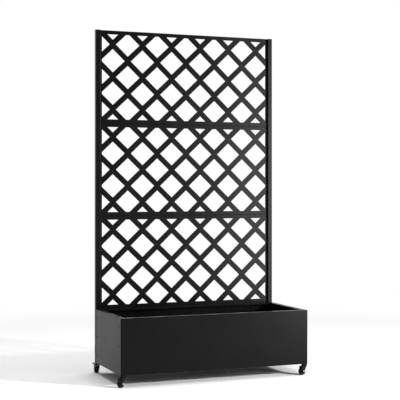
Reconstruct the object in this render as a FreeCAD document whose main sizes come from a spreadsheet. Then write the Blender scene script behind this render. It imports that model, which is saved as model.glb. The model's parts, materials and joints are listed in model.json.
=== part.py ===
"""Sheet-steel planter box with a three-panel lattice trellis, on four swivel casters.

Frame: origin on the floor under the middle of the whole planter, +Z up, front face towards -Y.
The trellis stands along the back, between two posts that run down to the rear casters.
All sizes are millimetres and degrees.
"""
import FreeCAD, Part
import Sketcher
import math
import os

SIZES = {
    # the rear casters reach out further than the front ones, so the origin lies behind the box's middle
    "origin_back": 12.0,
    # how far a cutting tool passes beyond the face that it cuts
    "overrun": 1.0,
    "long_overrun": 10.0,
    # planter box
    "box_width": 1000.0,
    "box_depth": 425.0,
    "box_height": 275.0,
    "sheet": 1.0,
    "bend_radius": 4.0,
    "edge_radius": 1.0,
    "rim_width": 25.0,
    "rim_lip": 9.0,
    "foot_flange": 20.0,
    "front_wrap": 40.0,
    "rear_wrap": 26.0,
    "seam_gap": 1.4,
    "joggle_gap": 0.1,
    "joggle_length": 2.5,
    "tab_overlap": 12.0,
    # planter floor
    "floor_height": 16.0,
    "floor_clearance": 2.0,
    "drain_radius": 6.0,
    "drain_pitch_x": 180.0,
    "drain_pitch_y": 210.0,
    "crossbar_width": 40.0,
    "crossbar_sheet": 1.5,
    "crossbar_place": 250.0,
    # posts
    "post_size": 25.0,
    "post_wall": 1.2,
    "post_radius": 2.5,
    "post_gap": 0.5,
    "post_end_gap": 0.3,
    "plug_clearance": 0.1,
    "cap_height": 2.0,
    "cap_plug_depth": 14.0,
    "insert_flange": 2.0,
    "insert_depth": 22.0,
    # lattice panels
    "panel_height": 480.0,
    "panel_sheet": 1.5,
    "panel_gap": 0.5,
    "panel_lap": 8.0,
    "panel_recess": 12.5,
    "panel_bend": 1.2,
    "side_border": 10.5,
    "rail_border": 20.0,
    "column_pitch": 162.3,
    "row_pitch": 168.75,
    "opening_half_width": 64.2,
    "opening_half_height": 60.3,
    # fasteners
    "seam_bolt_radius": 2.5,
    "seam_bolt_spread": 315.0,
    "seam_nut_flats": 4.0,
    "side_bolt_radius": 2.0,
    "side_bolt_edge": 6.0,
    "side_bolt_spread": 95.0,
    "side_nut_flats": 3.5,
    "post_bolt_radius": 3.0,
    "post_bolt_spread": 95.0,
    "post_nut_flats": 5.0,
    "lattice_screw_radius": 2.0,
    "lattice_screw_length": 12.0,
    "lattice_screw_spread": 190.0,
    "hole_clearance": 0.25,
    # casters
    "caster_height": 55.0,
    "caster_trail": 18.0,
    "wheel_radius": 20.0,
    "wheel_width": 17.0,
    "tread_round": 3.0,
    "hub_radius": 7.5,
    "hub_width": 18.0,
    "hub_recess": 2.5,
    "recess_radius": 14.0,
    "axle_radius": 3.0,
    "axle_flats": 5.0,
    "axle_head": 3.6,
    "axle_end": 4.5,
    "stem_radius": 4.0,
    "running_gap": 0.05,
    "fixed_gap": 0.01,
    "side_play": 0.5,
    "wheel_headroom": 3.0,
    "fork_sheet": 2.0,
    "fork_back": 8.4,
    "fork_foot_radius": 7.0,
    "swivel_radius": 14.0,
    "swivel_gap": 0.3,
    "cap_skirt": 1.2,
    "stem_head_radius": 6.5,
    "stem_head": 2.8,
    # brakes on the rear casters
    "brake_pin_radius": 1.5,
    "pin_head": 0.8,
    "pin_head_radius": 2.4,
    "brake_pin_x": 30.0,
    "brake_pin_height": 43.0,
    "brake_hub_radius": 3.2,
    "brake_reach": 20.0,
    "brake_lobe": 5.7,
    "lobe_inset": 2.0,
    "lobe_half": 1.0,
    "pedal_length": 16.0,
    "pedal_width": 24.0,
    "pedal_thickness": 4.0,
    "pedal_nose": 2.0,
    # rest angles of the four swivels, measured from +X
    "front_left_yaw": -141.6,
    "front_right_yaw": -156.3,
    "rear_left_yaw": 93.2,
    "rear_right_yaw": 62.0,
}

DRAIN_COLUMNS = range(-2, 3)
PANEL_COUNT = 3

# Proportions of a button-head screw and a hex nut.
HEAD_RADIUS = 1.8  # of the shank's radius
HEAD_HEIGHT = 1.1  # of the shank's radius
SHANK_PAST_SHEETS = 2.2  # of the shank's radius, beyond the sheets that the screw holds
DOME_RISE = 0.6  # of the head's height
DOME_TOP = 0.55  # of the head's radius
SOCKET_RADIUS = 0.75  # of the shank's radius
SOCKET_FLOOR = 0.35  # of the head's height
NUT_HEIGHT = 1.6  # of the thread's radius
NUT_CHAMFER = 0.25  # of the nut's height
CROWN_RADIUS = 0.95  # of half the width across flats
HEX_CORNER = 2 / math.sqrt(3)  # corner radius over half the width across flats

doc = FreeCAD.newDocument("planter_with_trellis")
sheet = doc.addObject("Spreadsheet::Sheet", "Sizes")


class Size:
    """A length that keeps both its number and its expression on the size sheet."""

    def __init__(self, value, text):
        self.value = value
        self.text = text

    @staticmethod
    def of(other):
        return other if isinstance(other, Size) else Size(float(other), repr(float(other)))

    def __add__(self, other):
        other = Size.of(other)
        return Size(self.value + other.value, f"({self.text} + {other.text})")

    def __radd__(self, other):
        return Size.of(other) + self

    def __sub__(self, other):
        other = Size.of(other)
        return Size(self.value - other.value, f"({self.text} - {other.text})")

    def __rsub__(self, other):
        return Size.of(other) - self

    def __mul__(self, other):
        other = Size.of(other)
        return Size(self.value * other.value, f"({self.text} * {other.text})")

    def __rmul__(self, other):
        return Size.of(other) * self

    def __truediv__(self, other):
        other = Size.of(other)
        return Size(self.value / other.value, f"({self.text} / {other.text})")

    def __neg__(self):
        return Size(-self.value, f"(-1 * {self.text})")


class SizeSheet:
    """The driving sizes by name."""


def fill_sheet():
    sizes = SizeSheet()
    for row, (name, number) in enumerate(SIZES.items(), start=1):
        sheet.set(f"A{row}", name)
        sheet.set(f"B{row}", str(number))
        sheet.setAlias(f"B{row}", name)
    doc.recompute()
    for name in SIZES:
        setattr(sizes, name, Size(float(sheet.get(name)), "Sizes." + name))
    return sizes


S = fill_sheet()

# ---------------------------------------------------------------- shape helpers

TURNS = {
    "X": FreeCAD.Rotation(FreeCAD.Vector(0, 1, 0), 90),
    "Y": FreeCAD.Rotation(FreeCAD.Vector(1, 0, 0), -90),
    "Z": FreeCAD.Rotation(),
}


def new(kind, name):
    return doc.addObject(kind, name)


def bind(thing, **sizes):
    """Tie properties of an object to sizes on the sheet."""
    for prop, size in sizes.items():
        size = Size.of(size)
        setattr(thing, prop, size.value)
        thing.setExpression(prop, size.text)


def put(thing, x=0, y=0, z=0, turn=None):
    """Place an object, its position tied to the sheet."""
    spot = [Size.of(part) for part in (x, y, z)]
    rotation = turn if turn is not None else FreeCAD.Rotation()
    thing.Placement = FreeCAD.Placement(FreeCAD.Vector(*[part.value for part in spot]), rotation)
    for letter, part in zip("xyz", spot):
        thing.setExpression("Placement.Base." + letter, part.text)
    return thing


def block(name, x, y, z):
    """A box between two limits along each axis."""
    thing = new("Part::Box", name)
    low = [Size.of(pair[0]) for pair in (x, y, z)]
    high = [Size.of(pair[1]) for pair in (x, y, z)]
    spans = [top - bottom for bottom, top in zip(low, high)]
    bind(thing, Length=spans[0], Width=spans[1], Height=spans[2])
    return put(thing, *low)


def rod(name, radius, axis, x, y, z, length):
    """A cylinder that starts at a point and runs along +X, +Y or +Z."""
    thing = new("Part::Cylinder", name)
    bind(thing, Radius=radius, Height=length)
    return put(thing, x, y, z, TURNS[axis])


def fuse(name, *pieces):
    thing = new("Part::MultiFuse", name)
    thing.Shapes = list(pieces)
    thing.Refine = True
    return thing


def cut(name, base, *tools):
    thing = new("Part::Cut", name)
    thing.Base = base
    thing.Tool = tools[0] if len(tools) == 1 else fuse(name + "_tools", *tools)
    thing.Refine = True
    return thing


def common(name, first, second):
    thing = new("Part::Common", name)
    thing.Base = first
    thing.Tool = second
    return thing


def rounded(name, base, radius, chosen):
    """Fillet those edges of the base whose box passes the test."""
    doc.recompute()
    edges = [index for index, edge in enumerate(base.Shape.Edges, start=1) if chosen(edge.BoundBox)]
    if not edges:
        raise RuntimeError(f"{name}: no edge to round")
    thing = new("Part::Fillet", name)
    thing.Base = base
    thing.Edges = [(index, radius.value, radius.value) for index in edges]
    return thing


def near(first, second):
    return abs(first - Size.of(second).value) < 1e-4


def upright(box):
    """An edge that runs along Z."""
    return box.ZLength > 1.0 and box.XLength < 1e-4 and box.YLength < 1e-4


def square_tube(name, centre_x, centre_y, low, high):
    """A square tube with rounded corners, upright."""
    half = S.post_size / 2
    bore = half - S.post_wall
    outer = block(name + "_outer", (centre_x - half, centre_x + half),
                  (centre_y - half, centre_y + half), (low, high))
    inner = block(name + "_inner", (centre_x - bore, centre_x + bore),
                  (centre_y - bore, centre_y + bore), (low - S.overrun, high + S.overrun))
    outer = rounded(name + "_outside", outer, S.post_radius, upright)
    inner = rounded(name + "_inside", inner, S.post_radius - S.post_wall, upright)
    return cut(name + "_tube", outer, inner)


def polygon_sketch(body, name, plane, loops):
    """Closed loops of straight lines on a base plane, each corner tied to the sheet."""
    origin_plane = [part for part in body.Origin.OriginFeatures if part.Role == plane][0]
    sketch = body.newObject("Sketcher::SketchObject", name)
    sketch.AttachmentSupport = (origin_plane, [""])
    sketch.MapMode = "FlatFace"
    for corners in loops:
        corners = [(Size.of(across), Size.of(up)) for across, up in corners]
        spots = [FreeCAD.Vector(across.value, up.value, 0) for across, up in corners]
        first = sketch.GeometryCount
        count = len(corners)
        for index in range(count):
            sketch.addGeometry(Part.LineSegment(spots[index], spots[(index + 1) % count]))
        for index in range(count):
            following = first + (index + 1) % count
            sketch.addConstraint(Sketcher.Constraint("Coincident", first + index, 2, following, 1))
        for index, (across, up) in enumerate(corners):
            for kind, size in (("DistanceX", across), ("DistanceY", up)):
                number = sketch.addConstraint(
                    Sketcher.Constraint(kind, -1, 1, first + index, 1, size.value))
                sketch.setExpression(f"Constraints[{number}]", size.text)
    return sketch


SUBPARTS = []


def subpart(thing, label):
    """Name a finished object as one sub-part of the planter."""
    thing.Label = label
    SUBPARTS.append(thing)
    return thing


# ---------------------------------------------------------------- levels and faces

box_bottom = S.caster_height
box_top = S.caster_height + S.box_height
half_width = S.box_width / 2
total_depth = S.box_depth + S.post_size
front_face = -(total_depth / 2) - S.origin_back
back_face = front_face + S.box_depth
rear_post_y = back_face + S.post_size / 2
rear_post_x = half_width - S.post_size / 2
corner_inset = S.sheet + S.post_gap + S.post_size / 2
front_post_x = half_width - corner_inset
front_post_y = front_face + corner_inset
plug_half = S.post_size / 2 - S.post_wall - S.plug_clearance
trellis_top = box_top + PANEL_COUNT * S.panel_height
post_top = trellis_top - S.cap_height
lattice_front = back_face + S.panel_recess
lattice_back = back_face + S.post_size
outer_bend = S.bend_radius + S.sheet
outer_edge = S.edge_radius + S.sheet
floor_top = box_bottom + S.sheet + S.floor_height
tab_inset = S.sheet + S.joggle_gap
trim_height = 5 * S.sheet
hole_reach = 6 * S.sheet
front_post_end_x = front_post_x - S.post_size / 2
front_post_end_y = front_post_y + S.post_size / 2

side_bolt_levels = [box_bottom + S.box_height / 2 + step * S.side_bolt_spread for step in (-1, 0, 1)]
post_bolt_levels = [box_bottom + S.box_height / 2 + step * S.post_bolt_spread for step in (-1, 0, 1)]
front_seam_y = front_face + S.front_wrap
rear_seam_y = back_face - S.rear_wrap
front_bolt_y = front_seam_y - S.side_bolt_edge
rear_bolt_y = rear_seam_y + S.side_bolt_edge


# ---------------------------------------------------------------- planter box

def wrapped_wall(label, face, inward, wrap):
    """A folded wall: its face, two ends wrapped round the corners, a rim and a foot flange.

    face is the outer face's Y and inward is +1 or -1, the way to the planter's middle.
    """
    def along(start, end):
        first = face + inward * start
        last = face + inward * end
        return (first, last) if inward > 0 else (last, first)

    outer = block(label + "_blank", (-half_width, half_width), along(0, wrap), (box_bottom, box_top))
    inside = (S.sheet - half_width, half_width - S.sheet)
    void_end = wrap + S.long_overrun
    void = block(label + "_void", inside, along(S.sheet, void_end), (box_bottom + S.sheet, box_top - S.sheet))

    def corner_edge(level):
        return lambda box: upright(box) and near(box.YMin, level)

    def fold_edge(low, high, end):
        return lambda box: (box.ZLength < 1e-4 and (near(box.ZMin, low) or near(box.ZMin, high))
                            and not (near(box.YMin, end) and near(box.YMax, end)))

    outer = rounded(label + "_corners", outer, outer_bend, corner_edge(face))
    outer = rounded(label + "_folds", outer, outer_edge,
                    fold_edge(box_bottom, box_top, face + inward * wrap))
    void = rounded(label + "_inner_corners", void, S.bend_radius, corner_edge(face + inward * S.sheet))
    void = rounded(label + "_inner_folds", void, S.edge_radius,
                   fold_edge(box_bottom + S.sheet, box_top - S.sheet, face + inward * void_end))
    rim_trim = block(label + "_rim_trim", inside, along(S.rim_width, void_end),
                     (box_top - trim_height, box_top + S.overrun))
    foot_trim = block(label + "_foot_trim", inside, along(S.foot_flange, void_end),
                      (box_bottom - S.overrun, box_bottom + trim_height))
    wall = cut(label + "_wall", outer, void, rim_trim, foot_trim)
    lip_end = front_post_end_x - S.seam_gap
    lip = block(label + "_lip", (-lip_end, lip_end), along(S.rim_width - S.sheet, S.rim_width),
                (box_top - S.rim_lip, box_top - S.sheet / 2))
    return fuse(label + "_folded", wall, lip)


def side_bolt_holes(label, y):
    starts = (-half_width - S.overrun, half_width + S.overrun - hole_reach)
    return [rod(f"{label}_bolt_hole_{side}_{index}", S.side_bolt_radius + S.hole_clearance, "X",
                start, y, level, hole_reach)
            for side, start in enumerate(starts) for index, level in enumerate(side_bolt_levels)]


def front_panel():
    label = "front_panel"
    folded = wrapped_wall(label, front_face, 1, S.front_wrap)
    half = plug_half + S.plug_clearance
    depth = (front_post_y - half, front_post_y + half)
    height = (box_bottom - S.overrun, box_bottom + S.sheet + S.overrun)
    sockets = [block(f"{label}_socket_{side}",
                     (side * front_post_x - half, side * front_post_x + half), depth, height)
               for side in (-1, 1)]
    return subpart(cut(label, folded, *sockets, *side_bolt_holes(label, front_bolt_y)), label)


def back_panel():
    label = "back_panel"
    folded = wrapped_wall(label, back_face, -1, S.rear_wrap)
    post_holes = [rod(f"{label}_post_hole_{side}_{index}", S.post_bolt_radius + S.hole_clearance, "Y",
                      side * rear_post_x, back_face - hole_reach / 2, level, hole_reach)
                  for side in (-1, 1) for index, level in enumerate(post_bolt_levels)]
    return subpart(cut(label, folded, *post_holes, *side_bolt_holes(label, rear_bolt_y)), label)


def side_panel(label, side):
    """A flat end wall, stepped inward at both ends so that its tabs pass behind the wraps."""
    def across(start, end):
        first = side * (half_width - start)
        last = side * (half_width - end)
        return (last, first) if side > 0 else (first, last)

    front_end = front_seam_y + S.seam_gap
    rear_end = rear_seam_y - S.seam_gap
    beyond_ends = (front_end - S.overrun, rear_end + S.overrun)
    outer = block(label + "_blank", across(0, S.rim_width), (front_end, rear_end), (box_bottom, box_top))
    void = block(label + "_void", across(S.sheet, S.rim_width + S.long_overrun), beyond_ends,
                 (box_bottom + S.sheet, box_top - S.sheet))

    def fold_edge(x, low, high):
        return lambda box: (box.YLength > 1.0 and near(box.XMin, x)
                            and (near(box.ZMin, low) or near(box.ZMin, high)))

    outer = rounded(label + "_folds", outer, outer_edge, fold_edge(side * half_width, box_bottom, box_top))
    void = rounded(label + "_inner_folds", void, S.edge_radius,
                   fold_edge(side * (half_width - S.sheet), box_bottom + S.sheet, box_top - S.sheet))
    foot_trim = block(label + "_foot_trim", across(S.foot_flange, S.rim_width + S.long_overrun),
                      beyond_ends, (box_bottom - S.overrun, box_bottom + trim_height))
    wall = cut(label + "_wall", outer, void, foot_trim)
    low = box_bottom + S.sheet + S.seam_gap
    high = box_top - S.sheet - S.seam_gap
    steps = []
    for name, seam, away in (("front", front_end, -1), ("rear", rear_end, 1)):
        tab = [seam + away * (S.seam_gap + S.tab_overlap), seam]
        step = [seam, seam - away * S.joggle_length]
        steps.append(block(f"{label}_{name}_tab", across(tab_inset, tab_inset + S.sheet),
                           tab if away < 0 else tab[::-1], (low, high)))
        steps.append(block(f"{label}_{name}_step", across(S.sheet / 2, tab_inset + S.sheet),
                           step if away < 0 else step[::-1], (low, high)))
    rim_ends = (front_face + S.rim_width + S.joggle_gap, back_face - S.rim_width - S.joggle_gap)
    rim = block(label + "_rim", across(tab_inset, S.rim_width), rim_ends, (box_top - S.sheet, box_top))
    lip_ends = (front_post_end_y + S.seam_gap, rim_ends[1])
    lip = block(label + "_lip", across(S.rim_width - S.sheet, S.rim_width), lip_ends,
                (box_top - S.rim_lip, box_top - S.sheet / 2))
    folded = fuse(label + "_folded", wall, rim, lip, *steps)
    start = half_width + S.overrun - hole_reach if side > 0 else -half_width - S.overrun
    holes = [rod(f"{label}_bolt_hole_{row}_{index}", S.side_bolt_radius + S.hole_clearance, "X",
                 start, y, level, hole_reach)
             for row, y in enumerate((front_bolt_y, rear_bolt_y))
             for index, level in enumerate(side_bolt_levels)]
    return subpart(cut(label, folded, *holes), label)


def bottom_panel():
    """The planter's floor: a flat tray with turned-down edges and drain holes."""
    label = "bottom_panel"
    x_end = half_width - tab_inset - S.sheet - S.floor_clearance
    y_front = front_face + S.sheet + S.floor_clearance
    y_back = back_face - S.sheet - S.floor_clearance
    low = box_bottom + S.sheet
    under = low - S.overrun
    outer = block(label + "_blank", (-x_end, x_end), (y_front, y_back), (low, floor_top))
    void = block(label + "_void", (S.sheet - x_end, x_end - S.sheet),
                 (y_front + S.sheet, y_back - S.sheet), (under, floor_top - S.sheet))
    notch_x = front_post_end_x - S.floor_clearance
    notch_y = front_post_end_y + S.floor_clearance
    notch_ends = {-1: (-x_end - S.overrun, -notch_x), 1: (notch_x, x_end + S.overrun)}
    notches = [block(f"{label}_notch_{side}", ends, (y_front - S.overrun, notch_y),
                     (under, floor_top + S.overrun)) for side, ends in notch_ends.items()]
    middle_y = (front_face + back_face) / 2
    drains = [rod(f"{label}_drain_{column}_{row}", S.drain_radius, "Z", column * S.drain_pitch_x,
                  middle_y + row * S.drain_pitch_y / 2, floor_top - 2 * S.sheet, 4 * S.sheet)
              for column in DRAIN_COLUMNS for row in (-1, 1)]
    return subpart(cut(label, outer, void, *notches, *drains), label)


def floor_crossbar(label, side):
    """A channel under the floor, from the front foot flange to the back one."""
    low = box_bottom + S.sheet
    high = floor_top - S.sheet
    half = S.crossbar_width / 2
    bore = half - S.crossbar_sheet
    centre = side * S.crossbar_place
    end = 2 * S.sheet + S.floor_clearance + S.seam_gap
    length = (front_face + end, back_face - end)
    outer = block(label + "_blank", (centre - half, centre + half), length, (low, high))
    void = block(label + "_void", (centre - bore, centre + bore),
                 (length[0] - S.overrun, length[1] + S.overrun),
                 (low - S.overrun, high - S.crossbar_sheet))
    return subpart(cut(label, outer, void), label)


# ---------------------------------------------------------------- posts

def rear_post(label, side):
    tube = square_tube(label, side * rear_post_x, rear_post_y, box_bottom, post_top)
    reach = 3 * S.post_wall
    bolt_holes = [rod(f"{label}_bolt_hole_{index}", S.post_bolt_radius + S.hole_clearance, "Y",
                      side * rear_post_x, back_face - S.post_wall, level, reach)
                  for index, level in enumerate(post_bolt_levels)]
    wall_x = side * (half_width - S.post_size)
    start = wall_x - reach / 2
    screw_holes = [rod(f"{label}_screw_hole_{index}", S.lattice_screw_radius, "X",
                       start, lattice_screw_y, level, reach)
                   for index, level in enumerate(lattice_screw_levels)]
    return subpart(cut(label, tube, *bolt_holes, *screw_holes), label)


def corner_post(label, side):
    low = box_bottom + S.sheet + S.post_end_gap
    high = box_top - S.sheet - S.post_end_gap
    return subpart(square_tube(label, side * front_post_x, front_post_y, low, high), label)


def foot_insert(label, x, y):
    """The threaded plug in a post's lower end, which holds the caster's stem."""
    flange_half = S.post_size / 2 - S.plug_clearance
    low = box_bottom - S.insert_flange
    flange = block(label + "_flange", (x - flange_half, x + flange_half),
                   (y - flange_half, y + flange_half), (low, box_bottom))
    plug = block(label + "_plug", (x - plug_half, x + plug_half), (y - plug_half, y + plug_half),
                 (low, box_bottom + S.insert_depth))
    flange = rounded(label + "_flange_round", flange, S.post_radius, upright)
    plug = rounded(label + "_plug_round", plug, S.post_radius - S.post_wall, upright)
    bore = rod(label + "_bore", S.stem_radius + S.running_gap, "Z", x, y, low - S.overrun,
               S.insert_depth + S.insert_flange + 2 * S.overrun)
    return subpart(cut(label, fuse(label + "_solid", flange, plug), bore), label)


def post_cap(label, side):
    x = side * rear_post_x
    half = S.post_size / 2
    top = block(label + "_top", (x - half, x + half), (rear_post_y - half, rear_post_y + half),
                (post_top, trellis_top))
    plug = block(label + "_plug", (x - plug_half, x + plug_half),
                 (rear_post_y - plug_half, rear_post_y + plug_half), (post_top - S.cap_plug_depth, post_top))
    plug = rounded(label + "_plug_round", plug, S.post_radius - S.post_wall, upright)
    top = rounded(label + "_top_round", top, S.post_radius, upright)
    top = rounded(label + "_top_soft", top, S.cap_height / 2, lambda box: near(box.ZMin, trellis_top))
    return subpart(fuse(label, top, plug), label)


# ---------------------------------------------------------------- lattice

lattice_screw_y = lattice_back - (S.post_size - S.panel_recess - S.panel_sheet) / 2
lattice_screw_levels = [box_top + (panel + 0.5) * S.panel_height + step * S.lattice_screw_spread
                        for panel in range(PANEL_COUNT) for step in (-1, 0, 1)]
lattice_half = half_width - S.post_size - S.panel_gap


def opening_cutter(label, centre_z):
    """Rows and columns of diamonds, with a second grid half a pitch off the first."""
    columns = int(math.ceil(lattice_half.value / S.column_pitch.value))
    rows = int(math.ceil(S.panel_height.value / 2 / S.row_pitch.value))
    body = new("PartDesign::Body", label + "_diamonds")
    body.AllowCompound = True
    loops = []
    for shift in (0, 0.5):
        middle_x = (shift - columns) * S.column_pitch
        middle_z = centre_z + (shift - rows) * S.row_pitch
        loops.append([(middle_x - S.opening_half_width, middle_z),
                      (middle_x, middle_z - S.opening_half_height),
                      (middle_x + S.opening_half_width, middle_z),
                      (middle_x, middle_z + S.opening_half_height)])
    sketch = polygon_sketch(body, label + "_diamond_pair", "XZ_Plane", loops)
    pad = body.newObject("PartDesign::Pad", label + "_diamond_pad")
    pad.Profile = sketch
    bind(pad, Length=2 * S.post_size)
    pad.Midplane = True
    doc.recompute()
    grid = body.newObject("PartDesign::MultiTransform", label + "_diamond_grid")
    grid.Originals = [pad]
    steps = []
    directions = (("H_Axis", 2 * columns + 1, S.column_pitch), ("V_Axis", 2 * rows + 1, S.row_pitch))
    for axis, count, pitch in directions:
        pattern = body.newObject("PartDesign::LinearPattern", f"{label}_diamonds_{axis}")
        pattern.Direction = (sketch, [axis])
        pattern.Mode = "Extent"
        bind(pattern, Length=(count - 1) * pitch)
        pattern.Occurrences = count
        steps.append(pattern)
    grid.Transformations = steps
    body.Tip = grid
    doc.recompute()
    return body


def lattice_panel(label, index):
    """A pressed panel: a pierced sheet with its four edges turned back.

    The lowest one laps behind the box, so that no daylight shows over the rim.
    """
    low = box_top + index * S.panel_height
    high = low + S.panel_height
    foot = low if index > 0 else low - S.panel_lap
    depth = (lattice_front, lattice_back)
    outer = block(label + "_blank", (-lattice_half, lattice_half), depth, (foot, high))
    outer = rounded(label + "_bends", outer, S.panel_bend,
                    lambda box: near(box.YMin, lattice_front) and near(box.YMax, lattice_front))
    void = block(label + "_void", (S.panel_sheet - lattice_half, lattice_half - S.panel_sheet),
                 (lattice_front + S.panel_sheet, lattice_back + S.overrun),
                 (foot + S.panel_sheet, high - S.panel_sheet))
    window_half = lattice_half - S.side_border
    window = block(label + "_window", (-window_half, window_half),
                   (lattice_front - S.overrun, lattice_front + S.panel_sheet + S.overrun),
                   (low + S.rail_border, high - S.rail_border))
    cutter = opening_cutter(label, low + S.panel_height / 2)
    put(cutter, 0, lattice_front, 0)
    openings = common(label + "_openings", cutter, window)
    reach = 3 * S.panel_sheet
    screw_hole = S.lattice_screw_radius + S.hole_clearance
    seam_hole = S.seam_bolt_radius + S.hole_clearance
    holes = []
    for side in (-1, 1):
        start = side * lattice_half - reach / 2
        for number, step in enumerate((-1, 0, 1)):
            level = low + S.panel_height / 2 + step * S.lattice_screw_spread
            holes.append(rod(f"{label}_screw_hole_{side}_{number}", screw_hole, "X",
                             start, lattice_screw_y, level, reach))
    seams = ([low] if index > 0 else []) + ([high] if index < PANEL_COUNT - 1 else [])
    for row, seam in enumerate(seams):
        for column in (-1, 0, 1):
            holes.append(rod(f"{label}_seam_hole_{row}_{column}", seam_hole, "Z",
                             column * S.seam_bolt_spread, lattice_screw_y, seam - reach / 2, reach))
    return subpart(cut(label, outer, void, openings, *holes), label)


# ---------------------------------------------------------------- fasteners

def hexagon(corner_radius, level, height):
    """A six-sided prism about the Z axis."""
    corners = [FreeCAD.Vector(corner_radius * math.cos(turn), corner_radius * math.sin(turn), level)
               for turn in [math.radians(60 * corner) for corner in range(7)]]
    return Part.Face(Part.makePolygon(corners)).extrude(FreeCAD.Vector(0, 0, height))


def screw_shape(radius, length):
    """A button-head screw with a hex recess, its head above z = 0 and its shank below."""
    head_radius = HEAD_RADIUS * radius
    head_height = HEAD_HEIGHT * radius
    dome_rise = DOME_RISE * head_height
    shoulder = head_height - dome_rise
    shank = Part.makeCylinder(radius, length, FreeCAD.Vector(0, 0, -length))
    rim = Part.makeCylinder(head_radius, shoulder)
    dome = Part.makeCone(head_radius, DOME_TOP * head_radius, dome_rise, FreeCAD.Vector(0, 0, shoulder))
    socket = hexagon(SOCKET_RADIUS * radius, SOCKET_FLOOR * head_height, head_height)
    return shank.fuse([rim, dome]).cut(socket).removeSplitter()


def nut_shape(bore, half_flats):
    """A hex nut above z = 0, its upper corners chamfered."""
    height = NUT_HEIGHT * bore
    corner_radius = HEX_CORNER * half_flats
    shoulder = (1 - NUT_CHAMFER) * height
    crown = Part.makeCone(corner_radius, CROWN_RADIUS * half_flats, NUT_CHAMFER * height,
                          FreeCAD.Vector(0, 0, shoulder))
    body = hexagon(corner_radius, 0, height).common(Part.makeCylinder(corner_radius, shoulder).fuse(crown))
    return body.cut(Part.makeCylinder(bore, 3 * height, FreeCAD.Vector(0, 0, -height)))


def fastener_group(label, master, places):
    """Equal loose fasteners as one node; each place is a point and the way the fastener's +Z looks."""
    copies = []
    for spot, way in places:
        copy = master.copy()
        values = [Size.of(part).value for part in spot]
        turn = FreeCAD.Rotation(FreeCAD.Vector(0, 0, 1), FreeCAD.Vector(*way))
        copy.Placement = FreeCAD.Placement(FreeCAD.Vector(*values), turn)
        copies.append(copy)
    group = new("Part::Feature", label)
    group.Shape = Part.makeCompound(copies)
    return subpart(group, label)


def bolted(heads_label, nuts_label, radius, half_flats, sheets, places):
    """Bolts and their nuts; a place is the head's seat, the nut's seat and the way the head looks."""
    length = SHANK_PAST_SHEETS * radius.value + sheets.value
    heads = [(head, way) for head, _, way in places]
    nuts = [(nut, [-part for part in way]) for _, nut, way in places]
    fastener_group(heads_label, screw_shape(radius.value, length), heads)
    fastener_group(nuts_label, nut_shape(radius.value, half_flats.value), nuts)


def box_fasteners():
    skin = tab_inset + S.sheet
    places = [((side * half_width, y, level), (side * (half_width - skin), y, level), (side, 0, 0))
              for side in (-1, 1) for y in (front_bolt_y, rear_bolt_y) for level in side_bolt_levels]
    bolted("side_bolts", "side_nuts", S.side_bolt_radius, S.side_nut_flats, skin, places)
    places = [((side * rear_post_x, back_face - S.sheet, level),
               (side * rear_post_x, back_face + S.post_wall, level), (0, -1, 0))
              for side in (-1, 1) for level in post_bolt_levels]
    bolted("post_bolts", "post_weld_nuts", S.post_bolt_radius, S.post_nut_flats,
           S.sheet + S.post_wall, places)


def lattice_fasteners():
    inner = lattice_half - S.panel_sheet
    places = [((side * inner, lattice_screw_y, level), (-side, 0, 0))
              for side in (-1, 1) for level in lattice_screw_levels]
    screw = screw_shape(S.lattice_screw_radius.value, S.lattice_screw_length.value)
    fastener_group("lattice_screws", screw, places)
    seam_levels = [box_top + seam * S.panel_height for seam in range(1, PANEL_COUNT)]
    places = [((column * S.seam_bolt_spread, lattice_screw_y, level + S.panel_sheet),
               (column * S.seam_bolt_spread, lattice_screw_y, level - S.panel_sheet), (0, 0, 1))
              for level in seam_levels for column in (-1, 0, 1)]
    bolted("seam_bolts", "seam_nuts", S.seam_bolt_radius, S.seam_nut_flats, 2 * S.panel_sheet, places)


# ---------------------------------------------------------------- casters

fork_inside = S.hub_width / 2 + S.side_play
fork_outside = fork_inside + S.fork_sheet
fork_under = 2 * S.wheel_radius + S.wheel_headroom
fork_over = fork_under + S.fork_sheet
cap_top = box_bottom - S.insert_flange
cap_under = cap_top - S.cap_skirt
swivel_top = cap_under - S.swivel_gap


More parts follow.
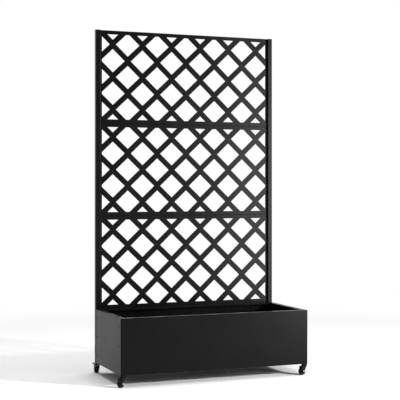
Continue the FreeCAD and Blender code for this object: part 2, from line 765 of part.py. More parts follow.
class Caster:
    """One swivel caster, modelled with its kingpin on the Z axis and its wheel trailing along +X."""

    def __init__(self, corner, x, y, yaw):
        self.corner = corner
        self.x = x
        self.y = y
        self.yaw = yaw

    def place(self, thing, label):
        """Swing a finished piece to its rest angle and carry it to its post."""
        turn = FreeCAD.Rotation(FreeCAD.Vector(0, 0, 1), self.yaw.value)
        put(thing, self.x, self.y, 0, turn)
        thing.setExpression("Placement.Rotation.Angle", self.yaw.text)
        return subpart(thing, f"{label}_{self.corner}")

    def stem(self):
        name = "stem_" + self.corner
        head_top = fork_under - S.swivel_gap
        head = rod(name + "_head", S.stem_head_radius, "Z", 0, 0, head_top - S.stem_head, S.stem_head)
        shank_low = head_top - S.stem_head / 2
        shank_high = box_bottom + S.insert_depth - S.insert_flange
        shank = rod(name + "_shank", S.stem_radius, "Z", 0, 0, shank_low, shank_high - shank_low)
        self.place(fuse(name + "_solid", head, shank), "caster_stem")

    def swivel_cap(self):
        name = "cap_" + self.corner
        low = fork_over + 2 * S.swivel_gap
        disc = rod(name + "_disc", S.swivel_radius, "Z", 0, 0, low, cap_top - low)
        disc = rounded(name + "_disc_round", disc, S.cap_skirt,
                       lambda box: near(box.ZMin, cap_top) and near(box.ZMax, cap_top))
        under = low - S.overrun
        hollow = rod(name + "_hollow", S.swivel_radius - S.cap_skirt, "Z", 0, 0, under, cap_under - under)
        bore = rod(name + "_bore", S.stem_radius + S.running_gap, "Z", 0, 0, under,
                   cap_top + S.overrun - under)
        self.place(cut(name + "_solid", disc, hollow, bore), "swivel_cap")

    def fork(self, braked):
        name = "fork_" + self.corner
        foot = S.fork_foot_radius
        reach = S.caster_trail + foot
        width = 2 * fork_outside
        nose = rod(name + "_nose", S.swivel_radius, "Z", 0, 0, fork_under, S.fork_sheet)
        plate = block(name + "_plate", (0, reach), (-fork_outside, fork_outside), (fork_under, fork_over))
        race = rod(name + "_race", S.swivel_radius - S.cap_skirt - 2 * S.swivel_gap, "Z", 0, 0,
                   fork_under + S.fork_sheet / 2, swivel_top - fork_under - S.fork_sheet / 2)
        feet = rod(name + "_feet", foot, "Y", S.caster_trail, -fork_outside, S.wheel_radius, width)
        legs = new("Part::Wedge", name + "_legs")
        bind(legs, Xmin=S.caster_trail - foot, Xmax=reach, X2min=-S.fork_back, X2max=reach,
             Ymin=0, Ymax=fork_over - S.wheel_radius, Zmin=0, Zmax=width, Z2min=0, Z2max=width)
        put(legs, 0, fork_outside, S.wheel_radius, FreeCAD.Rotation(FreeCAD.Vector(1, 0, 0), 90))
        pieces = [nose, plate, race, feet, legs]
        slot_reach = reach
        if braked:
            ear = S.brake_hub_radius + S.fork_sheet / 2
            pieces.append(rod(name + "_ears", ear, "Y", S.brake_pin_x, -fork_outside,
                              S.brake_pin_height, width))
            pieces.append(block(name + "_ear_root", (reach - foot, S.brake_pin_x),
                                (-fork_outside, fork_outside), (S.brake_pin_height - ear, fork_over)))
            slot_reach = S.brake_pin_x + ear
        solid = fuse(name + "_blank", *pieces)
        slot = block(name + "_slot", (-2 * S.swivel_radius, slot_reach + S.overrun),
                     (-fork_inside, fork_inside), (-S.overrun, fork_under))
        beside = -fork_outside - S.overrun
        across = width + 2 * S.overrun
        tools = [slot,
                 rod(name + "_kingpin_bore", S.stem_radius + S.running_gap, "Z", 0, 0,
                     fork_under - S.overrun, swivel_top - fork_under + 2 * S.overrun),
                 rod(name + "_axle_bore", S.axle_radius, "Y", S.caster_trail, beside, S.wheel_radius, across)]
        if braked:
            tools.append(rod(name + "_pin_bore", S.brake_pin_radius, "Y", S.brake_pin_x, beside,
                             S.brake_pin_height, across))
            relief = S.brake_hub_radius + 2 * S.swivel_gap
            tools.append(block(name + "_pedal_room", (S.brake_pin_x - relief, S.brake_pin_x + 2 * relief),
                               (-fork_inside, fork_inside),
                               (fork_under - S.overrun, fork_over + S.long_overrun)))
        self.place(cut(name + "_solid", solid, *tools), "caster_fork")

    def wheel(self):
        name = "wheel_" + self.corner
        trail = S.caster_trail
        axis_z = S.wheel_radius
        half = S.wheel_width / 2
        tread = rod(name + "_tread", S.wheel_radius, "Y", trail, -half, axis_z, S.wheel_width)
        tread = rounded(name + "_tread_round", tread, S.tread_round,
                        lambda box: box.YLength < 1e-4 and near(box.XMax, trail + S.wheel_radius))
        hub = rod(name + "_hub", S.hub_radius, "Y", trail, -S.hub_width / 2, axis_z, S.hub_width)
        tools = []
        for side in (-1, 1):
            start = side * half - S.hub_recess
            disc = rod(f"{name}_dish_{side}", S.recess_radius, "Y", trail, start, axis_z, 2 * S.hub_recess)
            core = rod(f"{name}_dish_core_{side}", S.hub_radius, "Y", trail, start - S.overrun, axis_z,
                       2 * (S.hub_recess + S.overrun))
            tools.append(cut(f"{name}_dish_ring_{side}", disc, core))
        tools.append(rod(name + "_bore", S.axle_radius + S.running_gap, "Y", trail, -S.hub_width, axis_z,
                         2 * S.hub_width))
        self.place(cut(name + "_solid", fuse(name + "_blank", tread, hub), *tools), "caster_wheel")

    def axle(self):
        """A hex-head axle bolt, its head on the +Y side, with a nut on the other side."""
        name = "axle_" + self.corner
        shank_start = -fork_outside - S.axle_end
        shank_end = fork_outside + S.axle_head / 2
        nut_start = -fork_outside - S.axle_head
        shank = rod(name + "_shank", S.axle_radius - S.fixed_gap, "Y", S.caster_trail, shank_start,
                    S.wheel_radius, shank_end - shank_start)
        head = self.hexagon(name + "_head", fork_outside)
        self.place(fuse(name + "_solid", shank, head), "axle_bolt")
        nut = self.hexagon(name + "_nut_blank", nut_start)
        bore = rod(name + "_nut_bore", S.axle_radius, "Y", S.caster_trail, nut_start - S.overrun,
                   S.wheel_radius, S.axle_head + 2 * S.overrun)
        self.place(cut(name + "_nut_solid", nut, bore), "axle_nut")

    def hexagon(self, name, start):
        """A hexagon on the wheel's axis, from one Y value outward along +Y."""
        thing = new("Part::Prism", name)
        thing.Polygon = 6
        bind(thing, Circumradius=HEX_CORNER * S.axle_flats, Height=S.axle_head)
        return put(thing, S.caster_trail, start, S.wheel_radius, TURNS["Y"])

    def brake(self):
        """A foot brake: a steel lever with a lobe over the wheel, and a pedal on its outer end."""
        name = "brake_" + self.corner
        x = S.brake_pin_x
        z = S.brake_pin_height
        inside = fork_inside - S.swivel_gap
        pin_end = fork_outside + S.pin_head / 2
        pin = rod(name + "_pin", S.brake_pin_radius - S.fixed_gap, "Y", x, -pin_end, z, 2 * pin_end)
        rivets = [rod(f"{name}_pin_head_{side}", S.pin_head_radius, "Y", x, start, z, S.pin_head)
                  for side, start in ((-1, -fork_outside - S.pin_head), (1, fork_outside))]
        self.place(fuse(name + "_pin_solid", pin, *rivets), "brake_pin")
        hub = rod(name + "_hub", S.brake_hub_radius, "Y", x, -inside, z, 2 * inside)
        lobe_side = S.wheel_width / 2 - S.lobe_inset
        lobe = block(name + "_lobe", (x - S.lobe_half, x + S.lobe_half), (-lobe_side, lobe_side),
                     (z - S.brake_lobe, z))
        arm = block(name + "_arm", (x, x + S.brake_reach), (-inside, inside), (z, z + S.fork_sheet))
        lever = fuse(name + "_lever_blank", hub, lobe, arm)
        bore = rod(name + "_bore", S.brake_pin_radius + S.running_gap, "Y", x, -inside - S.overrun, z,
                   2 * (inside + S.overrun))
        self.place(cut(name + "_lever_solid", lever, bore), "brake_lever")
        arm_top = z + S.fork_sheet
        wide = S.pedal_width / 2
        arm_end = x + S.brake_reach
        pedal_end = arm_end + S.pedal_nose
        pedal = block(name + "_pedal_blank", (pedal_end - S.pedal_length, pedal_end), (-wide, wide),
                      (arm_top - S.pedal_thickness / 2, arm_top + S.pedal_thickness / 2))
        pedal = rounded(name + "_pedal_round", pedal, S.pedal_thickness, upright)
        pocket = block(name + "_pedal_pocket", (pedal_end - S.pedal_length - S.overrun, arm_end),
                       (-inside, inside), (z - S.pedal_thickness, arm_top))
        self.place(cut(name + "_pedal_solid", pedal, pocket), "brake_pedal")


def casters():
    corners = (
        ("front_left", -front_post_x, front_post_y, S.front_left_yaw, False),
        ("front_right", front_post_x, front_post_y, S.front_right_yaw, False),
        ("rear_left", -rear_post_x, rear_post_y, S.rear_left_yaw, True),
        ("rear_right", rear_post_x, rear_post_y, S.rear_right_yaw, True),
    )
    for corner, x, y, yaw, braked in corners:
        foot_insert("foot_insert_" + corner, x, y)
        caster = Caster(corner, x, y, yaw)
        caster.stem()
        caster.swivel_cap()
        caster.fork(braked)
        caster.wheel()
        caster.axle()
        if braked:
            caster.brake()


# ---------------------------------------------------------------- the whole planter

def build():
    front_panel()
    back_panel()
    side_panel("left_side_panel", -1)
    side_panel("right_side_panel", 1)
    bottom_panel()
    floor_crossbar("floor_crossbar_left", -1)
    floor_crossbar("floor_crossbar_right", 1)
    rear_post("left_rear_post", -1)
    rear_post("right_rear_post", 1)
    corner_post("left_corner_post", -1)
    corner_post("right_corner_post", 1)
    post_cap("left_post_cap", -1)
    post_cap("right_post_cap", 1)
    for index, level in enumerate(("lower", "middle", "upper")):
        lattice_panel("lattice_panel_" + level, index)
    box_fasteners()
    lattice_fasteners()
    casters()


def check():
    doc.recompute()
    failed = [thing.Label for thing in doc.Objects if "Invalid" in thing.State or "Error" in thing.State]
    if failed:
        raise RuntimeError("failed objects: " + ", ".join(failed))
    for thing in SUBPARTS:
        shape = thing.Shape
        if shape.isNull() or not shape.isValid() or shape.Volume <= 0:
            raise RuntimeError("bad shape: " + thing.Label)
        if not shape.Solids:
            raise RuntimeError("no solid: " + thing.Label)


def export():
    os.makedirs("parts", exist_ok=True)
    for thing in SUBPARTS:
        thing.Shape.exportStep(os.path.join("parts", thing.Label + ".step"))
        print(f"{thing.Label:28s} solids {len(thing.Shape.Solids):3d}  volume {thing.Shape.Volume:12.1f}")


build()
check()
export()
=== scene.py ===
"""Looks of the planter with trellis: its finishes, wheel and pedal details, studio and camera.

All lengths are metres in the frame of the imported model: origin on the floor, +Z up and the
front towards -Y.
"""

import bmesh
import bpy
import json
import math
from mathutils import Matrix, Vector


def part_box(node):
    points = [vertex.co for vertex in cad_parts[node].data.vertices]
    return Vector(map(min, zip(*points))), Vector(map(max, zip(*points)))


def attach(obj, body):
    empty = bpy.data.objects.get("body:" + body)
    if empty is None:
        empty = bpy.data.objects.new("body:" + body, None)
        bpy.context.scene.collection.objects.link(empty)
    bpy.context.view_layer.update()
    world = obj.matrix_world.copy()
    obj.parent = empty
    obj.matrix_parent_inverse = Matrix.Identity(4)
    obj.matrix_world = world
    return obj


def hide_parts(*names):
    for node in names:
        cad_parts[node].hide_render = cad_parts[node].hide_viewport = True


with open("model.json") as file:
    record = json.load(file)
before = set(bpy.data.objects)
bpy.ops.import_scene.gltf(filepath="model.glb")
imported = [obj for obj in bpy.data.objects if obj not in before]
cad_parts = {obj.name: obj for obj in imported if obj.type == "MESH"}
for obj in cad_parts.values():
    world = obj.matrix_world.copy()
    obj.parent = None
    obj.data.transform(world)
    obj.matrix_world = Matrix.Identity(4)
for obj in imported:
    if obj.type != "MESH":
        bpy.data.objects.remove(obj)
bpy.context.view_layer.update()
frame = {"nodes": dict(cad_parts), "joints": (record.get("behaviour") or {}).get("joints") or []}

MM = 0.001
CORNERS = ("front_left", "front_right", "rear_left", "rear_right")
BRAKED = ("rear_left", "rear_right")

# ---------------------------------------------------------------- shader maths

# Sockets of the colour Mix node, where one name stands for several sockets.
MIX_SHARE, MIX_FIRST, MIX_SECOND, MIX_COLOUR = 0, 6, 7, 2
Y_AXIS, Z_AXIS = 1, 2
WHITE = (1.0, 1.0, 1.0, 1.0)


class Level:
    """A value that changes over a surface; arithmetic on it adds Math nodes."""

    def __init__(self, finish, socket):
        self.finish = finish
        self.socket = socket

    def maths(self, operation, *values):
        return self.finish.node("ShaderNodeMath", {"operation": operation}, dict(enumerate(values)))

    def __add__(self, other):
        return self.maths("ADD", self, other)

    __radd__ = __add__

    def __sub__(self, other):
        return self.maths("SUBTRACT", self, other)

    def __rsub__(self, other):
        return self.maths("SUBTRACT", other, self)

    def __mul__(self, other):
        return self.maths("MULTIPLY", self, other)

    __rmul__ = __mul__

    def between(self, low, high):
        """0 below low, 1 above high and a smooth rise between them."""
        return self.finish.node("ShaderNodeMapRange", {"interpolation_type": "SMOOTHSTEP"},
                                {"Value": self, "From Min": low, "From Max": high})


class Finish:
    """A material, or the world, made node by node."""

    def __init__(self, holder):
        holder.use_nodes = True
        self.holder = holder
        self.tree = holder.node_tree
        self.tree.nodes.clear()

    def node(self, kind, settings=None, sockets=None, output=0):
        """One node: its settings first, then the values or links of its sockets."""
        made = self.tree.nodes.new(kind)
        for name, value in (settings or {}).items():
            setattr(made, name, value)
        for key, value in (sockets or {}).items():
            if isinstance(value, Level):
                self.tree.links.new(value.socket, made.inputs[key])
            else:
                made.inputs[key].default_value = value
        return Level(self, made.outputs[output]) if made.outputs else None

    def place(self):
        """The point in the object's own coordinates, in metres."""
        return self.node("ShaderNodeTexCoord", output="Object")

    def part_of(self, vector, axis):
        """One component of a vector."""
        return self.node("ShaderNodeSeparateXYZ", None, {"Vector": vector}, axis)

    def facing(self, axis):
        """How far the surface looks along a world axis, -1 to 1."""
        return self.part_of(self.node("ShaderNodeNewGeometry", output="Normal"), axis)

    def noise(self, place, scale, detail, roughness):
        return self.node("ShaderNodeTexNoise", {"noise_dimensions": "3D"},
                         {"Vector": place, "Scale": scale, "Detail": detail, "Roughness": roughness})

    def stretched(self, place, scale):
        """A place scaled along each axis by its own factor."""
        return self.node("ShaderNodeVectorMath", {"operation": "MULTIPLY"}, {0: place, 1: scale})

    def mix(self, share, first, second):
        """The first colour where share is 0 and the second where it is 1."""
        sockets = {MIX_SHARE: share, MIX_FIRST: first, MIX_SECOND: second}
        return self.node("ShaderNodeMix", {"data_type": "RGBA"}, sockets, MIX_COLOUR)

    def mix_shaders(self, share, first, second):
        """The first shader where share is 0 and the second where it is 1."""
        return self.node("ShaderNodeMixShader", None, {0: share, 1: first, 2: second})

    def softened(self, radius):
        """The normal, rounded over sharp edges."""
        return self.node("ShaderNodeBevel", {"samples": 4}, {"Radius": radius})

    def edges(self, soft):
        """1 on sharp edges and 0 away from them."""
        normal = self.node("ShaderNodeNewGeometry", output="Normal")
        aligned = self.node("ShaderNodeVectorMath", {"operation": "DOT_PRODUCT"},
                            {0: soft, 1: normal}, "Value")
        return (1 - aligned).between(0.01, 0.25)

    def seen_rays(self, glossy=True):
        """1 for what the camera sees, directly, through glass and, if asked, in reflections."""
        seen = self.node("ShaderNodeLightPath", output="Is Camera Ray")
        seen += self.node("ShaderNodeLightPath", output="Is Transmission Ray")
        if glossy:
            seen += self.node("ShaderNodeLightPath", output="Is Glossy Ray")
        return seen.between(0.0, 1.0)

    def bump(self, height, depth, normal):
        """A normal tilted by a height from 0 to 1, which stands for depth metres."""
        return self.node("ShaderNodeBump", None, {"Height": height, "Distance": depth, "Normal": normal})

    def surface(self, **sockets):
        """End in a Principled shader, whose socket names are written in lower case here."""
        names = {name.replace("_", " ").title().replace("Ior", "IOR"): value
                 for name, value in sockets.items()}
        self.end(self.node("ShaderNodeBsdfPrincipled", None, names))
        return self.holder

    def end(self, shader):
        is_world = isinstance(self.holder, bpy.types.World)
        kind = "ShaderNodeOutputWorld" if is_world else "ShaderNodeOutputMaterial"
        self.node(kind, None, {"Surface": shader})


def grey(level, warmth=0.0):
    """A neutral colour; warmth above 0 leans it to brown, below 0 to blue."""
    return (level * (1 + warmth), level, level * (1 - warmth), 1.0)


# ---------------------------------------------------------------- finishes


def settled_dust(finish, place, amount):
    """Fine dust on surfaces that look up, thicker in patches."""
    upward = finish.facing(Z_AXIS).between(0.45, 0.95)
    patches = finish.noise(place, scale=38.0, detail=6.0, roughness=0.62).between(0.30, 0.75)
    specks = finish.noise(place, scale=900.0, detail=2.0, roughness=0.5).between(0.52, 0.75)
    return upward * (0.35 + 0.65 * patches) * (0.45 + 0.55 * specks) * amount


def powder_coat():
    """Satin black powder coat: orange peel, slow waves, handled patches, and lighter edges that are
    partly rubbed wear and partly a painted highlight.
    """
    finish = Finish(bpy.data.materials.new("powder_coat"))
    place = finish.place()
    soft = finish.softened(radius=0.4 * MM)
    rubbed = finish.noise(place, scale=55.0, detail=4.0, roughness=0.6).between(0.35, 0.65)
    # The edge mask: rubbed wear, which also places a painted highlight along the edges.
    worn = finish.edges(soft) * rubbed
    dust = settled_dust(finish, place, amount=0.16)
    clouds = finish.noise(place, scale=14.0, detail=5.0, roughness=0.6)
    grain = finish.noise(place, scale=1300.0, detail=3.0, roughness=0.65).between(0.3, 0.7)
    tall_patches = finish.stretched(place, scale=(8.0, 8.0, 3.5))
    handled = finish.noise(tall_patches, scale=1.0, detail=3.0, roughness=0.5).between(0.40, 0.75)
    pits, film = grey(0.0014, warmth=-0.03), grey(0.0048, warmth=-0.03)
    faded, worn_and_highlit_edge, dusty = grey(0.0050, warmth=0.02), grey(0.05, warmth=0.02), grey(0.11, warmth=0.06)
    coat = finish.mix(grain, pits, film)
    coat = finish.mix(clouds.between(0.3, 0.75) * 0.35, coat, faded)
    # Lighter edges: partly rubbed wear, partly a painted highlight standing in for edges catching the
    # light.
    coat = finish.mix(worn * 0.6, coat, worn_and_highlit_edge)
    coat = finish.mix(dust, coat, dusty)
    peel = finish.noise(place, scale=520.0, detail=2.0, roughness=0.45)
    waves = finish.noise(place, scale=5.0, detail=1.0, roughness=0.4)
    normal = finish.bump(waves, depth=0.9 * MM, normal=soft)
    normal = finish.bump(peel, depth=0.055 * MM, normal=normal)
    gloss = 0.235 + 0.10 * clouds + 0.05 * handled
    return finish.surface(base_color=coat, roughness=gloss + 0.3 * dust - 0.06 * worn,
                          specular_ior_level=0.10, normal=normal)


def caster_enamel():
    """Gloss black enamel over pressed steel, thin on its edges."""
    finish = Finish(bpy.data.materials.new("caster_enamel"))
    place = finish.place()
    soft = finish.softened(radius=0.4 * MM)
    chipped = finish.noise(place, scale=210.0, detail=5.0, roughness=0.65).between(0.45, 0.62)
    worn = finish.edges(soft) * chipped
    dust = settled_dust(finish, place, amount=0.12)
    black, bare_steel, dusty = grey(0.0025), grey(0.10, warmth=0.03), grey(0.10, warmth=0.08)
    coat = finish.mix(worn * 0.5, black, bare_steel)
    coat = finish.mix(dust, coat, dusty)
    flow = finish.noise(place, scale=320.0, detail=2.0, roughness=0.4)
    return finish.surface(base_color=coat, roughness=0.24 + 0.1 * flow + 0.35 * dust + 0.15 * worn,
                          specular_ior_level=0.14, metallic=worn * 0.4,
                          normal=finish.bump(flow, depth=0.05 * MM, normal=soft))


def zinc_steel():
    """Bright zinc plating with faint patches and fine turning marks."""
    finish = Finish(bpy.data.materials.new("zinc_steel"))
    place = finish.place()
    soft = finish.softened(radius=0.2 * MM)
    patches = finish.noise(place, scale=420.0, detail=4.0, roughness=0.6)
    flat_rings = finish.stretched(place, scale=(400.0, 400.0, 4000.0))
    marks = finish.noise(flat_rings, scale=1.0, detail=2.0, roughness=0.5)
    blue_zinc, warm_zinc = (0.56, 0.57, 0.59, 1.0), (0.70, 0.69, 0.66, 1.0)
    return finish.surface(base_color=finish.mix(patches, blue_zinc, warm_zinc), metallic=1.0,
                          roughness=0.22 + 0.22 * patches,
                          normal=finish.bump(marks, depth=0.01 * MM, normal=soft))


def black_screw():
    """Black coated screws, rubbed bright where the driver turns and on the rims."""
    finish = Finish(bpy.data.materials.new("black_screw"))
    place = finish.place()
    soft = finish.softened(radius=0.2 * MM)
    rubbed = finish.noise(place, scale=700.0, detail=3.0, roughness=0.6).between(0.4, 0.65)
    worn = finish.edges(soft) * rubbed
    mottle = finish.noise(place, scale=900.0, detail=3.0, roughness=0.6)
    dark, light, bare_steel = grey(0.010), grey(0.022), grey(0.15)
    colour = finish.mix(mottle, dark, light)
    colour = finish.mix(worn * 0.3, colour, bare_steel)
    return finish.surface(base_color=colour, metallic=0.3, roughness=0.34 + 0.16 * mottle,
                          specular_ior_level=0.2,
                          normal=finish.bump(mottle, depth=0.01 * MM, normal=soft))


def black_plastic():
    """Moulded black plastic with a fine spark-eroded grain."""
    finish = Finish(bpy.data.materials.new("black_plastic"))
    place = finish.place()
    soft = finish.softened(radius=0.35 * MM)
    grain = finish.noise(place, scale=2200.0, detail=3.0, roughness=0.6)
    dust = settled_dust(finish, place, amount=0.14)
    streaks = finish.stretched(place, scale=(60.0, 420.0, 60.0))
    scuffs = finish.noise(streaks, scale=1.0, detail=5.0, roughness=0.65).between(0.58, 0.8)
    dark, light, scuffed, dusty = grey(0.0025), grey(0.0050), grey(0.03), grey(0.10, warmth=0.06)
    colour = finish.mix(grain, dark, light)
    colour = finish.mix(scuffs * 0.2, colour, scuffed)
    colour = finish.mix(dust, colour, dusty)
    return finish.surface(base_color=colour, roughness=0.40 + 0.14 * grain + 0.2 * dust,
                          specular_ior_level=0.14,
                          normal=finish.bump(grain, depth=0.03 * MM, normal=soft))


def wheel_rubber():
    """Matt black tread, greyed by the floor it rolls on."""
    finish = Finish(bpy.data.materials.new("wheel_rubber"))
    place = finish.place()
    soft = finish.softened(radius=0.3 * MM)
    grain = finish.noise(place, scale=1500.0, detail=4.0, roughness=0.65)
    rolled = finish.noise(place, scale=240.0, detail=5.0, roughness=0.65).between(0.48, 0.78)
    dark, light, dusty = grey(0.0022), grey(0.0048), grey(0.03, warmth=0.05)
    colour = finish.mix(grain, dark, light)
    colour = finish.mix(rolled * 0.2, colour, dusty)
    return finish.surface(base_color=colour, roughness=0.48 + 0.2 * grain, specular_ior_level=0.12,
                          normal=finish.bump(grain, depth=0.05 * MM, normal=soft))


FINISHES = {make.__name__: make() for make in (powder_coat, caster_enamel, zinc_steel, black_screw,
                                               black_plastic, wheel_rubber)}

# The starts of the nodes' names, for each finish. All other nodes are powder coated.
FINISHED_NODES = {
    "caster_enamel": ("caster_fork", "swivel_cap"),
    "zinc_steel": ("caster_stem", "axle", "brake_pin", "brake_lever", "side_nuts", "seam_nuts",
                   "post_weld_nuts"),
    "black_screw": ("side_bolts", "post_bolts", "lattice_screws", "seam_bolts"),
    "black_plastic": ("brake_pedal", "foot_insert", "left_post_cap", "right_post_cap"),
    "wheel_rubber": ("caster_wheel",),
}


def dress(piece, finish):
    """Give a finish to every material slot of a piece, or to a new one where it has none."""
    if piece.data.materials:
        for index in range(len(piece.material_slots)):
            piece.material_slots[index].material = FINISHES[finish]
    else:
        piece.data.materials.append(FINISHES[finish])


def dress_nodes():
    """Give each CAD node the finish that goes with the start of its name."""
    for name, node in frame["nodes"].items():
        finishes = [finish for finish, starts in FINISHED_NODES.items() if name.startswith(starts)]
        dress(node, finishes[0] if finishes else "powder_coat")


# ---------------------------------------------------------------- mesh helpers

SHARP_ANGLE = math.radians(32)


def piece_from(shape, name, slot, body, place=None):
    """A finished bmesh becomes a named piece on a body."""
    bmesh.ops.recalc_face_normals(shape, faces=shape.faces)
    if place is not None:
        bmesh.ops.transform(shape, matrix=place, verts=shape.verts)
    mesh = bpy.data.meshes.new(name)
    shape.to_mesh(mesh)
    shape.free()
    piece = bpy.data.objects.new(name, mesh)
    bpy.context.scene.collection.objects.link(piece)
    for face in mesh.polygons:
        face.use_smooth = True
    mesh.set_sharp_from_angle(angle=SHARP_ANGLE)
    dress(piece, slot)
    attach(piece, body)
    return piece


def turned(shape, profile, steps):
    """Turn a closed profile of (along, radius) points about the Z axis."""
    rings = []
    for step in range(steps):
        turn = 2 * math.pi * step / steps
        rings.append([shape.verts.new((radius * math.cos(turn), radius * math.sin(turn), along))
                      for along, radius in profile])
    for step in range(steps):
        ring, following = rings[step], rings[(step + 1) % steps]
        for index in range(len(profile)):
            after = (index + 1) % len(profile)
            shape.faces.new((ring[index], ring[after], following[after], following[index]))


def add_bar(shape, low, high, matrix, edge):
    """Add a bar with softened edges between two corners, carried by a matrix."""
    bar = bmesh.new()
    bmesh.ops.create_cube(bar, size=1.0)
    for vert in bar.verts:
        vert.co = Vector([low[axis] + (vert.co[axis] + 0.5) * (high[axis] - low[axis])
                          for axis in range(3)])
    bmesh.ops.bevel(bar, geom=bar.edges[:], offset=edge, segments=2, profile=0.5, affect="EDGES")
    bmesh.ops.transform(bar, matrix=matrix, verts=bar.verts)
    mesh = bpy.data.meshes.new("bar")
    bar.to_mesh(mesh)
    bar.free()
    shape.from_mesh(mesh)
    bpy.data.meshes.remove(mesh)


def axis_matrix(point, way):
    """Z along a direction, with the origin at a point."""
    turn = Vector(way).to_track_quat("Z", "Y").to_matrix().to_4x4()
    return Matrix.Translation(Vector(point)) @ turn


def joint(name):
    """A joint of the frame, by its name."""
    return next(item for item in frame["joints"] if item["name"] == name)


# ---------------------------------------------------------------- wheels

# Half of each width across the wheel.
TREAD_HALF = 8.5 * MM
HUB_HALF = 9.0 * MM
WEB_HALF = 6.0 * MM

# The tyre. Each fall is how far the tread lies below its full radius, which only the mould line has.
TREAD_RADIUS = 20.0 * MM
SHOULDER = 3.0 * MM
SHOULDER_STEPS = 6
MOULD_LINE_HALF = 0.25 * MM
MOULD_LINE_FALL = 0.12 * MM
FLAT_HALF = 3.0 * MM
FLAT_FALL = 0.14 * MM
CROWN_FALL = 0.25 * MM
TREAD_STEPS = 96

# Where tyre and core meet: the tyre's wall ends in a chamfered step, and its seat is sunk into the rim.
RIM_RADIUS = 14.0 * MM
WALL_FOOT = RIM_RADIUS + 0.5 * MM
WALL_CHAMFER = 0.4 * MM
SEAT_HALF = TREAD_HALF - 0.5 * MM
SEAT_RADIUS = RIM_RADIUS - 0.3 * MM

# The core. Its rim stands out past the web, and a shallow recess runs round the bore. Rim and hub
# taper by their drafts. A fillet is given by its reach across the web's face and along the radius.
CORE_RADIUS = RIM_RADIUS - 0.2 * MM
RIM_LIP = 1.6 * MM
RIM_DRAFT = 0.3 * MM
RIM_FILLET = (0.2 * MM, 0.3 * MM)
HUB_RADIUS = 7.5 * MM
HUB_DRAFT = 0.1 * MM
HUB_FILLET = (0.3 * MM, 0.4 * MM)
HUB_CHAMFER = 0.5 * MM
BORE_RADIUS = 3.05 * MM
RECESS_RADIUS = BORE_RADIUS + 1.2 * MM
RECESS_DEPTH = 0.4 * MM
CORE_STEPS = 72

# The ribs of the web, sunk a little into hub, rim and web.
RIB_COUNT = 6
RIB_HALF = 0.6 * MM
RIB_INNER = HUB_RADIUS - 0.3 * MM
RIB_OUTER = RIM_RADIUS - 0.4 * MM
RIB_FOOT = WEB_HALF - 0.5 * MM
RIB_TOP = WEB_HALF + 1.5 * MM
RIB_EDGE = 0.2 * MM


def mirrored(points):
    """A profile's one side and its mirror image, as one closed line."""
    return points + [(-along, radius) for along, radius in reversed(points)]


def tread_profile():
    """The tyre's section: a crowned tread with a mould line, round shoulders and a step at the rim."""
    shoulder_start = TREAD_HALF - SHOULDER
    crown_edge = TREAD_RADIUS - CROWN_FALL
    side = [(0.0, TREAD_RADIUS), (MOULD_LINE_HALF, TREAD_RADIUS - MOULD_LINE_FALL),
            (FLAT_HALF, TREAD_RADIUS - FLAT_FALL), (shoulder_start, crown_edge)]
    for step in range(1, SHOULDER_STEPS + 1):
        turn = math.radians(90) * step / SHOULDER_STEPS
        side.append((shoulder_start + SHOULDER * math.sin(turn),
                     crown_edge - SHOULDER + SHOULDER * math.cos(turn)))
    side += [(TREAD_HALF, WALL_FOOT + WALL_CHAMFER), (TREAD_HALF - WALL_CHAMFER, WALL_FOOT),
             (SEAT_HALF, SEAT_RADIUS)]
    # The middle point is its own mirror image, so it isn't repeated.
    return mirrored(side)[:-1]


def core_profile():
    """The moulded core's section: its rim, web, hub and recess, from the rim to the bore."""
    rim_foot, hub_foot, hub_top = CORE_RADIUS - RIM_DRAFT, HUB_RADIUS + HUB_DRAFT, HUB_RADIUS - HUB_DRAFT
    rim = [(WEB_HALF + RIM_LIP, CORE_RADIUS), (WEB_HALF + RIM_FILLET[0], rim_foot)]
    web = [(WEB_HALF, rim_foot - RIM_FILLET[1]), (WEB_HALF, hub_foot + HUB_FILLET[1])]
    hub = [(WEB_HALF + HUB_FILLET[0], hub_foot), (HUB_HALF - HUB_CHAMFER, hub_top),
           (HUB_HALF, hub_top - HUB_CHAMFER)]
    recess = [(HUB_HALF, RECESS_RADIUS + RECESS_DEPTH), (HUB_HALF - RECESS_DEPTH, RECESS_RADIUS),
              (HUB_HALF - RECESS_DEPTH, BORE_RADIUS)]
    return mirrored(rim + web + hub + recess)


def wheel(corner):
    """A caster wheel: a soft tread on a moulded core with ribs between hub and rim."""
    roll = joint("roll_" + corner)
    place = axis_matrix(roll["pos_m"], roll["axis"])
    tread = bmesh.new()
    turned(tread, tread_profile(), TREAD_STEPS)
    tyre = piece_from(tread, "tread_" + corner, "wheel_rubber", "wheel_" + corner, place)
    core = bmesh.new()
    turned(core, core_profile(), CORE_STEPS)
    for side in (-1, 1):
        foot, top = sorted((side * RIB_FOOT, side * RIB_TOP))
        for index in range(RIB_COUNT):
            turn = Matrix.Rotation(2 * math.pi * index / RIB_COUNT, 4, "Z")
            add_bar(core, (RIB_INNER, -RIB_HALF, foot), (RIB_OUTER, RIB_HALF, top), turn, RIB_EDGE)
    hub = piece_from(core, "wheel_core_" + corner, "wheel_rubber", "wheel_" + corner, place)
    # The core keeps the wheel's slot, and only its look is the harder plastic.
    dress(hub, "black_plastic")
    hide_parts("caster_wheel_" + corner)


# ---------------------------------------------------------------- pedals

GRIP_RIBS_EACH_SIDE = 2
GRIP_PITCH = 2.6 * MM
GRIP_HALF_WIDTH = 0.5 * MM
GRIP_HALF_LENGTH = 8.5 * MM
GRIP_SUNK = 0.6 * MM
GRIP_RISE = 0.5 * MM
GRIP_EDGE = 0.25 * MM


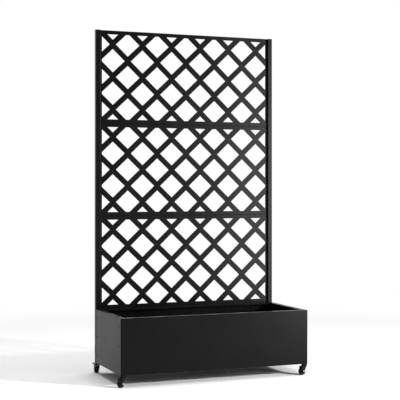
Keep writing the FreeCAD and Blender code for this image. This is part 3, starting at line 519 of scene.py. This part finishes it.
def pedal_grip(corner):
    """Raised ribs across the pedal's tread, where the foot presses."""
    low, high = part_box("brake_pedal_" + corner)
    centre = (low + high) / 2
    up = Vector((0, 0, 1))
    across = Vector(joint("brake_" + corner)["axis"]).normalized()
    along = across.cross(up).normalized()
    basis = Matrix((along, across, up)).transposed().to_4x4()
    ribs = bmesh.new()
    for step in range(-GRIP_RIBS_EACH_SIDE, GRIP_RIBS_EACH_SIDE + 1):
        spot = Vector((centre.x, centre.y, high.z)) + along * (step * GRIP_PITCH)
        add_bar(ribs, (-GRIP_HALF_WIDTH, -GRIP_HALF_LENGTH, -GRIP_SUNK),
                (GRIP_HALF_WIDTH, GRIP_HALF_LENGTH, GRIP_RISE),
                Matrix.Translation(spot) @ basis, GRIP_EDGE)
    piece_from(ribs, "pedal_grip_" + corner, "black_plastic", "brake_" + corner)


# ---------------------------------------------------------------- camera

IMAGE_PIXELS = 400
FOCAL_PIXELS = 1091.6
HORIZON_PIXEL = 187.8
SENSOR_MM = 36.0
CAMERA_SPOT = (-2.072, -5.224, 0.9554)
CAMERA_WAY = (0.3688, 0.9295, 0.0)
FAR_CLIP = 200.0


def looking(way):
    """The turn of a camera or lamp that looks along a direction."""
    return Vector(way).to_track_quat("-Z", "Y").to_euler()


def make_camera():
    """A level camera, shifted so that the horizon lies where the photo has it."""
    data = bpy.data.cameras.new("camera")
    data.sensor_width = SENSOR_MM
    data.lens = FOCAL_PIXELS * SENSOR_MM / IMAGE_PIXELS
    data.shift_y = (HORIZON_PIXEL - IMAGE_PIXELS / 2) / IMAGE_PIXELS
    data.clip_end = FAR_CLIP
    view = bpy.data.objects.new("camera", data)
    bpy.context.scene.collection.objects.link(view)
    view.location = CAMERA_SPOT
    view.rotation_euler = looking(CAMERA_WAY)
    bpy.context.scene.camera = view


# ---------------------------------------------------------------- studio

# Strengths of the surround: what lights the scene evenly, and what its front shows in reflections.
FILL_STRENGTH = 0.2
FRONT_STRENGTH = 0.05
FLOOR_RADIUS = 30.0
FLOOR_STEPS = 96
# From the first distance to the second, the floor fades into the surround.
FLOOR_FADE = (1.6, 3.2)


def make_world():
    """A white surround; in reflections it darkens towards the front of the studio."""
    world = bpy.data.worlds.new("studio")
    bpy.context.scene.world = world
    finish = Finish(world)
    direction = finish.node("ShaderNodeTexCoord", output="Generated")
    behind = finish.part_of(direction, Y_AXIS).between(-0.35, 0.45)
    glossy = finish.node("ShaderNodeLightPath", output="Is Glossy Ray")
    fill, dim, white = (finish.node("ShaderNodeBackground", None, {"Color": WHITE, "Strength": strength})
                        for strength in (FILL_STRENGTH, FRONT_STRENGTH, 1.0))
    reflected = finish.mix_shaders(behind, dim, white)
    unseen = finish.mix_shaders(glossy, fill, reflected)
    finish.end(finish.mix_shaders(finish.seen_rays(glossy=False), unseen, white))


def make_floor():
    """A white floor that keeps the planter's shadow and runs out into the white surround."""
    shape = bmesh.new()
    bmesh.ops.create_circle(shape, cap_ends=True, radius=FLOOR_RADIUS, segments=FLOOR_STEPS)
    mesh = bpy.data.meshes.new("studio_floor")
    shape.to_mesh(mesh)
    shape.free()
    floor = bpy.data.objects.new("studio_floor", mesh)
    bpy.context.scene.collection.objects.link(floor)
    finish = Finish(bpy.data.materials.new("studio_floor"))
    place = finish.place()
    distance = finish.node("ShaderNodeVectorMath", {"operation": "LENGTH"}, {0: place}, "Value")
    fibre = finish.noise(place, scale=900.0, detail=3.0, roughness=0.6)
    paper = finish.node("ShaderNodeBsdfDiffuse", None,
                        {"Color": finish.mix(fibre, grey(0.86), grey(0.90))})
    glow = finish.node("ShaderNodeEmission", None, {"Color": WHITE, "Strength": 1.0})
    bright = finish.node("ShaderNodeBsdfDiffuse", None, {"Color": WHITE})
    near = finish.mix_shaders(finish.seen_rays(), paper, bright)
    finish.end(finish.mix_shaders(distance.between(*FLOOR_FADE), near, glow))
    mesh.materials.append(finish.holder)


def softbox(name, spot, target, width, height, watts):
    """A rectangular lamp that shines on a target and that the camera doesn't see."""
    data = bpy.data.lights.new(name, "AREA")
    data.shape = "RECTANGLE"
    data.size = width
    data.size_y = height
    data.energy = watts
    lamp = bpy.data.objects.new(name, data)
    bpy.context.scene.collection.objects.link(lamp)
    lamp.location = spot
    lamp.rotation_euler = looking(Vector(target) - Vector(spot))
    lamp.visible_camera = False


def make_lights():
    """A wide lamp above, a small one that draws the box's shadow, and two for the steel's sheen."""
    softbox("top_softbox", spot=(-0.2, 0.3, 4.3), target=(-0.2, 0.1, 0.0),
            width=2.6, height=2.2, watts=132.0)
    softbox("key_lamp", spot=(3.6, -3.6, 2.1), target=(-0.1, 0.0, 0.3),
            width=0.35, height=0.35, watts=260.0)
    softbox("right_softbox", spot=(1.7, -2.15, 0.78), target=(0.3, -0.2, 0.6),
            width=0.55, height=1.5, watts=36.0)
    softbox("rear_softbox", spot=(-2.3, 3.3, 1.8), target=(0.0, 0.2, 0.8),
            width=1.2, height=1.8, watts=16.0)


# ---------------------------------------------------------------- all together

bpy.context.scene.view_settings.view_transform = "Standard"
make_camera()
make_world()
make_floor()
make_lights()
dress_nodes()
for corner in CORNERS:
    wheel(corner)
for corner in BRAKED:
    pedal_grip(corner)
